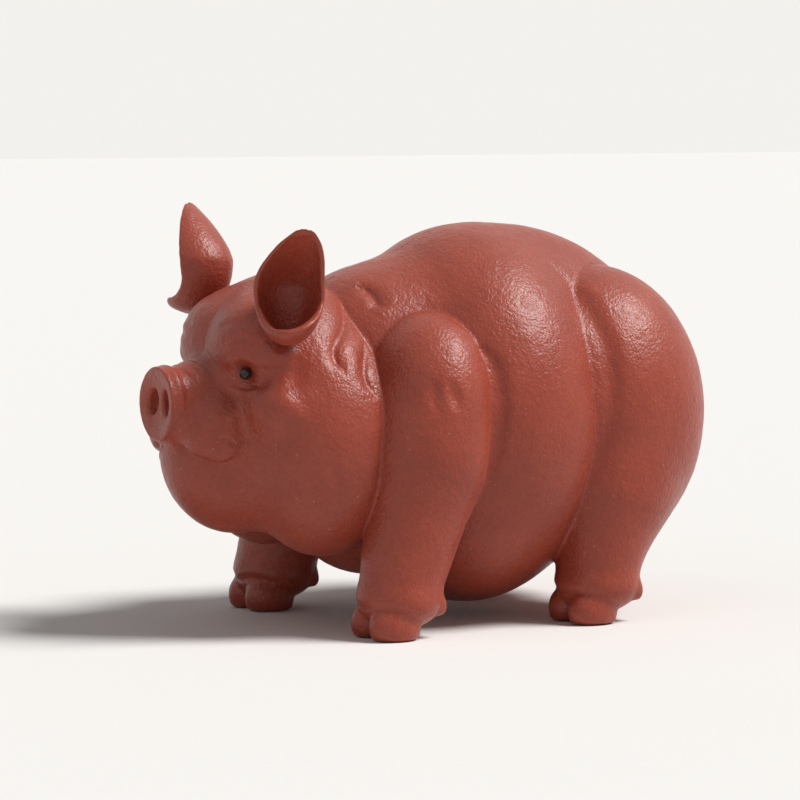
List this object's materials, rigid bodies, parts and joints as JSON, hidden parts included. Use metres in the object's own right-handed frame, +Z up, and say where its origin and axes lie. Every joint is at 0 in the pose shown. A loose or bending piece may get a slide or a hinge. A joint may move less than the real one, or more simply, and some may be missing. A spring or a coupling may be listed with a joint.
{
  "type": "pig figurine",
  "caption": "Standing pig figurine in unglazed purple-red stoneware, with a hollow body and head, cupped upright ears, a round snout, short legs with cloven feet and a curled tail.",
  "frame": {"origin": "on the surface the pig stands on, under the centre of the figure's box", "axes": "+Z up, -Y the way the pig faces, +X the pig's left side"},
  "size_m": [0.059, 0.0962, 0.0684],
  "materials": {
    "stoneware": "unglazed, fine sandy grain, faint sheen from handling"
  },
  "bodies": {
    "root": {"ear_left": "stoneware", "ear_right": "stoneware", "eye_left": "stoneware", "eye_right": "stoneware", "fore_dewclaw_inner_left": "stoneware", "fore_dewclaw_inner_right": "stoneware", "fore_dewclaw_outer_left": "stoneware", "fore_dewclaw_outer_right": "stoneware", "fore_toe_inner_left": "stoneware", "fore_toe_inner_right": "stoneware", "fore_toe_outer_left": "stoneware", "fore_toe_outer_right": "stoneware", "foreleg_left": "stoneware", "foreleg_right": "stoneware", "head_shell": "stoneware", "hind_dewclaw_inner_left": "stoneware", "hind_dewclaw_inner_right": "stoneware", "hind_dewclaw_outer_left": "stoneware", "hind_dewclaw_outer_right": "stoneware", "hind_toe_inner_left": "stoneware", "hind_toe_inner_right": "stoneware", "hind_toe_outer_left": "stoneware", "hind_toe_outer_right": "stoneware", "hindleg_left": "stoneware", "hindleg_right": "stoneware", "snout": "stoneware", "tail": "stoneware", "trunk_left": "stoneware", "trunk_right": "stoneware", "upper_lip": "stoneware"}
  },
  "joints": []
}
